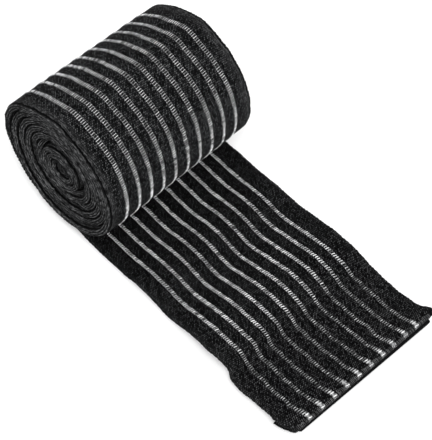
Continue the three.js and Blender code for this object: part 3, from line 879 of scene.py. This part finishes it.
# open ladder on the roll; it closes up towards the foot and over the back
ROLL_LOOK = dict(
    half=at_([[0, .80], [.3, .88], [.4, .95], [.46, 1.02], [.62, 1.02], [.72, .90], [.8, .76], [1, .76]]),
    rung=at_([[0, .30], [.34, .28], [.40, .24], [.46, .155], [.64, .155], [.70, .23], [.78, .34], [1, .38]]),
    thick=const(.22), rise=const(.15), base=const(.06), slant=const(.10), shift=const(0),
    rail_a=at_([[0, .17], [.4, .165], [.5, .15], [1, .16]]), rail_b=at_([[0, .15], [.4, .15], [.5, .135], [1, .15]]),
    inset=const(.12), inset_a=at_([[0, .1], [.4, .15], [.5, .25], [.7, .2], [1, .1]]),
    rail_tone=at_([[0, .62], [.4, .62], [.47, .95], [.64, .95], [.72, .62], [1, .62]]),
    rail_a_tone=at_([[0, .82], [.4, .82], [.47, 1.15], [.64, 1.1], [.72, .85], [1, .82]]),
    bed=const(.02), tone=at_([[0, .7], [.3, .74], [.40, .70], [.5, .74], [.65, .78], [.74, .78], [1, .66]]),
    meander=const(.07), gaps=const(.04))
# comb by the nip, a dense braid along the slack waves, an open and thinner ladder over the patch
TAIL_LOOK = dict(
    half=xt([[0, .64], [22, .66], [45, .72], [60, .80], [96, .84], [102, .80], [105, .76], [133, .78], [136.5, 1.0], [141, 1.08]]),
    rung=xt([[0, .25], [22, .25], [40, .27], [55, .31], [97, .33], [102, .24], [106, .17], [134, .19], [136.8, .36], [141, .42]]),
    thick=xt([[0, .25], [60, .33], [98, .33], [104, .19], [134, .19], [137, .26]]),
    rise=xt([[0, .20], [98, .24], [104, .10], [134, .10], [137, .14]]), base=const(.05),
    slant=xt([[0, .34], [40, .40], [98, .40], [104, .12], [141, .12]]),
    shift=xt([[0, .08], [36, .08], [50, -.04], [98, -.06], [104, 0], [141, 0]]),
    rail_a=xt([[0, .24], [38, .23], [60, .17], [98, .17], [104, .14], [134, .14], [137, .24]]),
    rail_b=xt([[0, .05], [30, .06], [55, .13], [98, .15], [104, .13], [134, .13], [137, .24]]),
    inset=const(.12), inset_a=xt([[0, .14], [36, .14], [55, .14], [98, .12], [141, .12]]),
    rail_tone=xt([[0, .6], [40, .6], [60, .6], [98, .6], [104, .8], [141, .85]]),
    rail_a_tone=xt([[0, 2.8], [36, 2.4], [55, 1.45], [98, 1.2], [104, .8], [141, .85]]),
    tone=xt([[0, .62], [24, .90], [36, .88], [46, .70], [60, .70], [68, .76], [76, .68], [86, .80], [99, .84], [102.5, .80],
             [105, .58], [112, .52], [134, .50], [136.4, .40], [137.4, .70], [138.4, 1.2], [141, 1.2]]),
    bed=xt([[0, .02], [136.6, .02], [137.3, .7], [141, .7]]), meander=xt([[0, .06], [98, .07], [104, .14], [112, .27], [134, .27], [137, .1], [141, .1]]),
    gaps=xt([[0, .03], [98, .03], [104, .16], [134, .20], [136, .02], [137, .0]]))
UNDER_LOOK = dict(
    half=const(.90), rung=const(.22), thick=const(.22), rise=const(.12), base=const(.05), slant=const(.1), shift=const(0),
    rail_a=const(.16), rail_b=const(.15), inset=const(.12), inset_a=const(.15), rail_tone=const(.7), rail_a_tone=const(.85),
    bed=const(.02), tone=const(.8), meander=const(.07), gaps=const(.03))

s_r0 = float(_s_of_a(.985))
s_r1 = float(_s_of_a(.015))
hem_end = s_of_x(HEM_TURN) + 1.7
BANDS = [("cord_tail_1", "stripe_tail_1", S_A, S_B), ("cord_tail_2", "stripe_tail_2", S_B, S_C),
         ("cord_tail_3", "stripe_tail_3", S_C, float(hem_end))]
CORDS = {"roll": [], "cord_tail_1": [], "cord_tail_2": [], "cord_tail_3": []}
for k in range(N_STRIPES):
    bag = Bag()
    cord_run(bag, k, s_r0, s_r1, -1, ROLL_LOOK, 6, 1)
    ob = bag.make(f"cord_roll_{k + 1:02d}", CORD)
    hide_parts(f"stripe_roll_{k + 1:02d}")
    CORDS["roll"].append(ob)
    for label, cad, a0, a1 in BANDS:
        bag = Bag()
        cord_run(bag, k, a0 + .02, a1 - .02, 1, TAIL_LOOK, 6, 2)
        lo = max(a0, float(s_of_x(24)))
        hi = min(a1, float(s_of_x(PATCH0 - .5)))
        cord_run(bag, k, lo + .02, hi - .02, -1, UNDER_LOOK, 5, 3)
        ob = bag.make(f"{label}_{k + 1:02d}", CORD)
        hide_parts(f"{cad}_{k + 1:02d}")
        CORDS[label].append(ob)

# ------------------------------------------------------------------ hook patch
def patch():
    z0, z1 = .62, 1.5
    y0, y1 = NEAR + 2.2, FAR - 1.0 + .6
    x0, x1 = PATCH0, PATCH1 + 1.9
    rc = 1.2
    bag = Bag()
    # outline with small round corners, then rings inwards on both faces
    cs = [(x0 + rc, y0 + rc, 180), (x1 - rc, y0 + rc, 270), (x1 - rc, y1 - rc, 0), (x0 + rc, y1 - rc, 90)]
    loop = []
    for i, (cx, cy, a0) in enumerate(cs):
        for j in range(6):
            t = math.radians(a0 + 90 * j / 5)
            loop.append((cx + rc * math.cos(t), cy + rc * math.sin(t)))
        nxt = cs[(i + 1) % 4]
        p, qn = np.array(loop[-1]), np.array([nxt[0] + rc * math.cos(math.radians(nxt[2])), nxt[1] + rc * math.sin(math.radians(nxt[2]))])
        n = max(2, int(np.linalg.norm(qn - p) / 1.1))
        for j in range(1, n):
            loop.append(tuple(p + (qn - p) * j / n))
    loop = np.array(loop)
    cen = np.array([(x0 + x1) / 2, (y0 + y1) / 2])
    m = len(loop)
    rings = []
    r = .28
    for f_ in np.linspace(0, np.pi, 7):
        rings.append((-(r - r * math.sin(f_)), z1 - r + r * math.cos(f_) if f_ <= np.pi / 2 else z0 + r + r * math.cos(f_)))
    V = []
    inward = unit(cen - loop) * 1.0
    top = [(-d, z1) for d in (15.5, 13.5, 11.5, 9.5, 7.5, 6, 4.5, 3, 1.8, .7)]
    bot = [(d, z0) for d in (-.7, -1.8, -3, -4.5, -6, -7.5, -9.5, -11.5, -13.5, -15.5)]
    half = np.array([(x1 - x0) / 2, (y1 - y0) / 2])
    for d, z in top + rings + bot:
        sc = (half + d) / half
        p = cen + (loop - cen) * sc
        V.append(np.concatenate([p, np.full((m, 1), z)], 1))
    k = len(V)
    V = np.concatenate(V)
    ii = np.arange(k - 1)[:, None] * m
    jj = np.arange(m)[None]
    jn = (jj + 1) % m
    q = np.stack([ii + jj, ii + m + jj, ii + m + jn, ii + jn], -1).reshape(-1, 4)
    c0, c1 = len(V), len(V) + 1
    V = np.concatenate([V, [[*cen, z1], [*cen, z0]]])
    j = np.arange(m)
    t0 = np.stack([np.full(m, c0), j, (j + 1) % m], -1)
    t1 = np.stack([np.full(m, c1), (k - 1) * m + (j + 1) % m, (k - 1) * m + j], -1)
    bag.add(V, q, np.concatenate([t0, t1]), .9)
    # hooks: a short stem that bends over, in staggered rows
    r_ = np.random.RandomState(5)
    gx = np.arange(x0 + 1.1, x1 - 1.0, 1.35)
    gy = np.arange(y0 + 1.1, y1 - 1.0, 1.15)
    X, Y = np.meshgrid(gx, gy, indexing="ij")
    Y = Y + .55 * (np.arange(len(gx)) % 2)[:, None]
    X, Y = X.ravel(), Y.ravel()
    frame_gap = ~(((np.abs(X - (x0 + 3.4)) < .8) | (np.abs(X - (PATCH1 - 3.4)) < .8)) |
                  ((np.abs(Y - (y0 + 3.4)) < .8) | (np.abs(Y - (y1 - 3.4)) < .8)))
    X, Y = X[frame_gap], Y[frame_gap]
    n = len(X)
    ang = r_.uniform(-.35, .35, n) + np.where(r_.uniform(0, 1, n) > .5, 0, np.pi)
    px = np.array([0, .02, .10, .28, .45, .50])
    pz = np.array([.66, .40, .20, .125, .20, .36])
    C = np.stack([X[:, None] + px * np.cos(ang)[:, None], Y[:, None] + px * np.sin(ang)[:, None],
                  np.broadcast_to(pz, (n, 6))], -1)
    D = unit(np.gradient(C, axis=1))
    U = np.stack([-np.sin(ang), np.cos(ang), 0 * ang], -1)[:, None] + np.zeros((1, 6, 1))
    rad = np.broadcast_to(np.array([.12, .11, .105, .10, .09, .06]), (n, 6))
    bag.tubes(C, D, U, rad, rad, 4, 5.0)
    V = np.concatenate(bag.v)
    up = end_lift(V[:, 0])
    V[:, 0] += (skew_at(V[:, 0]) + .010 * smooth((V[:, 0] - 134) / 5)) * V[:, 1]
    V[:, 1] += lateral(s_of_x(V[:, 0])) + LIFT_Y * up
    V[:, 2] += LIFT_Z * up
    V = V + np.array([DX, DY, 0])
    bag.v = [V]
    return make("hook_patch_tape", V, np.concatenate(bag.q), np.concatenate(bag.t),
                attrs={"tone": np.concatenate(bag.a)}, mat=HOOKS)


tape = patch()
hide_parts("hook_patch")


# ------------------------------------------------------------------ sewing
def dashes(bag, pts, up, length, gap, r, sink, m, tone, seed=0):
    """Stitches along a line of points: each a short tube whose ends dip into the cloth."""
    pts = np.asarray(pts, float)
    seg = np.concatenate([[0], np.cumsum(np.linalg.norm(np.diff(pts, axis=0), axis=1))])
    tot = seg[-1]
    n = max(1, int(tot // (length + gap)))
    st = (np.arange(n) + .5) * tot / n
    q = 6
    t = np.linspace(-.5, .5, q)
    S = st[:, None] + t * length
    C = np.stack([np.interp(S, seg, pts[:, i]) for i in range(3)], -1)
    U = np.broadcast_to(np.asarray(up, float), C.shape) if np.ndim(up) == 1 else np.stack([np.interp(S, seg, up[:, i]) for i in range(3)], -1)
    C = C + U * (-sink * (np.abs(t) * 2) ** 3)[None, :, None]
    D = unit(np.gradient(C, axis=1))
    prof = np.broadcast_to(np.array([.6, .95, 1, 1, .95, .6]) * r, C.shape[:2])
    rs = np.random.RandomState(seed)
    bag.tubes(C, D, U, prof * .8, prof, m, tone * (1 + .15 * rs.uniform(-1, 1, n)))


def needle_thread():
    bag = Bag()
    x0, x1 = PATCH0 + 3.4, 129.6
    y0, y1 = NEAR + 4.4, FAR - 4.4
    up = []
    lines = [[(x0, y0), (x1, y0)], [(x1, y0), (x1, y1)], [(x1, y1), (x0, y1)], [(x0, y1), (x0, y0)]]
    for i, (p, q) in enumerate(lines):
        n = 60
        xs = np.linspace(p[0], q[0], n)
        ys = np.linspace(p[1], q[1], n)
        ss = s_of_x(xs)
        P = place(ss, ys, H + .10)
        _, u = axes(ss)
        dashes(bag, P, u, 2.0, .6, .15, .30, 6, .45, 20 + i)
    return bag.make("needle_thread", THREAD)


def bobbin_thread():
    bag = Bag()
    x0, x1 = PATCH0 + 3.4, PATCH1 - 3.4
    y0, y1 = NEAR + 4.4, FAR - 4.4
    lines = [[(x0, y0), (x1, y0)], [(x1, y0), (x1, y1)], [(x1, y1), (x0, y1)], [(x0, y1), (x0, y0)]]
    for i, (p, q) in enumerate(lines):
        xs = np.linspace(p[0], q[0], 40)
        ys = np.linspace(p[1], q[1], 40)
        P = np.stack([xs + skew_at(xs) * ys + DX, ys + lateral(s_of_x(xs)) + LIFT_Y * end_lift(xs) + DY,
                      .56 + LIFT_Z * end_lift(xs)], -1)
        dashes(bag, P, np.array([0, 0, -1.0]), 2.2, .45, .20, .22, 6, 1.0, 40 + i)
    return bag.make("bobbin_thread", THREAD)


def whip_thread():
    """Slanted stitches over the folded tip, from the upper face down to the patch."""
    bag = Bag()
    n = 110
    v = np.linspace(NEAR + 1.6, FAR - 1.0, n)
    r = np.random.RandomState(9)
    v = v + r.uniform(-.15, .15, n)
    q = 11
    t = np.linspace(0, 1, q)
    s_a = s_of_x(HEM_TURN) + .2 + r.uniform(-.35, .25, n)
    s_b = _hem_s + 2.2 + r.uniform(-.3, .3, n)
    S = s_a[:, None] + (s_b - s_a)[:, None] * t
    V = v[:, None] + (t - .5) * 1.3
    N = H + .12 - .45 * (2 * np.abs(t - .5)) ** 6
    C = place(S, V, np.broadcast_to(N, S.shape))
    D = unit(np.gradient(C, axis=1))
    _, up = axes(S)
    rad = .13 * np.sqrt(np.clip(1 - (2 * np.abs(t - .5) * .95) ** 6, .1, 1))
    near_stripe = np.min(np.abs(v[:, None] - np.array(STRIPES)[None]), axis=1) < .9
    tone = np.where(near_stripe, .35, .62) * (1 + .6 * r.uniform(-1, 1, n))
    # painted shade: each stitch darkens from the top of the fold down towards the patch
    tone = tone[:, None] * (1 - .9 * smooth((t - .18) / .34))[None]
    bag.tubes(C, D, up, np.broadcast_to(rad, S.shape), np.broadcast_to(rad, S.shape), 6, tone)
    # the thread that runs along the edge from stitch to stitch
    vv = np.linspace(NEAR + 2.2, FAR - 1.4, 220)
    C = place(np.full(220, _hem_s + .35), vv, H + .07 + .05 * np.sin(vv * 4.1))[None]
    D = unit(np.gradient(C, axis=1))
    _, up = axes(np.full(220, _hem_s + .35))
    bag.tubes(C, D, up[None], np.full((1, 220), .12), np.full((1, 220), .12), 5, .12)
    return bag.make("whip_stitches", WHIP)


def inner_lock():
    """Overlock over the cut end in the core of the roll."""
    bag = Bag()
    n = 64
    v = np.linspace(NEAR + 3.2, FAR - 3.2, n)
    f = np.linspace(0, 1, 13)
    depth = 2.6
    s_o = S_START + depth * np.clip(1 - f / .42, 0, 1)
    s_i = S_START + depth * np.clip((f - .58) / .42, 0, 1)
    s = np.where(f < .5, s_o, s_i)
    turn = np.clip((f - .42) / .16, 0, 1)
    N = (H + .16) * np.cos(np.pi * turn)
    s = s - .28 * np.sin(np.pi * turn)
    px = np.array([place(np.maximum(s, S_START), np.full(13, vv) + (f - .5) * 1.0, N, raw=True) for vv in v])
    t0, _ = axes(np.array([S_START]))
    px = px + np.minimum(s - S_START, 0)[None, :, None] * t0[0][None, None]
    D = unit(np.gradient(px, axis=1))
    U = np.zeros_like(px) + np.array([0, 1.0, 0])
    bag.tubes(px, D, U, np.full(px.shape[:2], .17), np.full(px.shape[:2], .17), 6, 1.0)
    for nn in (H + .2, -H - .2):
        vv = np.linspace(NEAR + 3, FAR - 3, 160)
        C = place(np.full(160, S_START + depth), vv + .0, nn + 0 * vv, raw=True)[None]
        C = C + (np.sin(vv * 2 * np.pi / 1.16) * .15)[None, :, None] * t0[0]
        D = unit(np.gradient(C, axis=1))
        _, up = axes(np.full(160, S_START + depth))
        bag.tubes(C, D, up[None], np.full((1, 160), .16), np.full((1, 160), .16), 6, .9)
    return bag.make("inner_overlock", LOCK)


needle = needle_thread()
bobbin = bobbin_thread()
whip = whip_thread()
lock = inner_lock()
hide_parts("patch_needle_thread")
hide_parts("patch_bobbin_thread")
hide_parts("end_whip_thread")
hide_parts("inner_end_overlock")
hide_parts("band_roll")
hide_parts("band_roll", "band_lead")
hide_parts("band_tail_1")
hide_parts("band_tail_2")
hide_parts("band_tail_3")

# ------------------------------------------------------------------ bodies
for ob in [web_inner, web_outer, lock] + CORDS["roll"]:
    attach(ob, "roll")
for ob in [web_1] + CORDS["cord_tail_1"]:
    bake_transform(ob)
for ob in [web_2] + CORDS["cord_tail_2"]:
    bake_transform(ob)
for ob in [web_3] + CORDS["cord_tail_3"]:
    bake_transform(ob)
for ob in [tape, needle, bobbin, whip]:
    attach(ob, "tail_end")

# ------------------------------------------------------------------ floor, light, camera
fm, fnt, fsh = material("floor_paper")
ftc = node(fnt, "ShaderNodeTexCoord")
fn = noise(fnt, ftc.outputs["Object"], 40, 3)
fcol = ramp(fnt, fn, [(.3, (.93, .93, .93)), (.7, (.95, .95, .95))])
link(fnt, fcol, fsh.inputs["Base Color"])
fsh.inputs["Roughness"].default_value = .9
fsh.inputs["Specular IOR Level"].default_value = .1
fme = bpy.data.meshes.new("floor")
fs = 3.0
fme.from_pydata([(-fs, -fs, -.0002), (fs, -fs, -.0002), (fs, fs, -.0002), (-fs, fs, -.0002)], [], [(0, 1, 2, 3)])
fme.materials.append(fm)
floor = bpy.data.objects.new("floor", fme)
scene.collection.objects.link(floor)

world = bpy.data.worlds.new("studio")
scene.world = world
world.use_nodes = True
bg = world.node_tree.nodes["Background"]
bg.inputs[0].default_value = (1, 1, 1, 1)
bg.inputs[1].default_value = .80


def area(name, loc, target, size, power):
    d = bpy.data.lights.new(name, "AREA")
    d.shape = "DISK"
    d.size = size
    d.energy = power
    o = bpy.data.objects.new(name, d)
    o.location = loc
    o.rotation_euler = (Vector(target) - Vector(loc)).to_track_quat("-Z", "Y").to_euler()
    scene.collection.objects.link(o)
    return o


area("key", (.25, -.45, .95), (0, 0, .02), .7, 9.0)
area("fill", (.75, .55, .6), (0, 0, .02), .9, 4.0)
scene.view_settings.view_transform = "Standard"
scene.view_settings.look = "None"
scene.view_settings.exposure = 0.0

# The camera looks as the reference view does: azimuth 34.59, elevation 58.18, turned 11.6 degrees.
az, el, ro = math.radians(34.59), math.radians(58.18), math.radians(11.6)
back = np.array([math.sin(az) * math.cos(el), -math.cos(az) * math.cos(el), math.sin(el)])
right = np.array([math.cos(az), math.sin(az), 0])
upv = np.cross(back, right)
R0 = np.array([right, upv, back])
c_, s_ = math.cos(ro), math.sin(ro)
R = np.array([[c_, s_, 0], [-s_, c_, 0], [0, 0, 1]]) @ R0
pos = R.T @ np.array([41.08, -24.36, 536.08]) + np.array([DX - .85, DY, DZ])
cam_d = bpy.data.cameras.new("camera")
cam_d.sensor_fit = "AUTO"
cam_d.sensor_width = 36
cam_d.lens = 1206.3 * 36 / 440
cam_d.clip_start = .05
cam_d.clip_end = 20
cam = bpy.data.objects.new("camera", cam_d)
M = Matrix([[*R.T[0], pos[0] * .001], [*R.T[1], pos[1] * .001], [*R.T[2], pos[2] * .001], [0, 0, 0, 1]])
cam.matrix_world = M
scene.collection.objects.link(cam)
scene.camera = cam
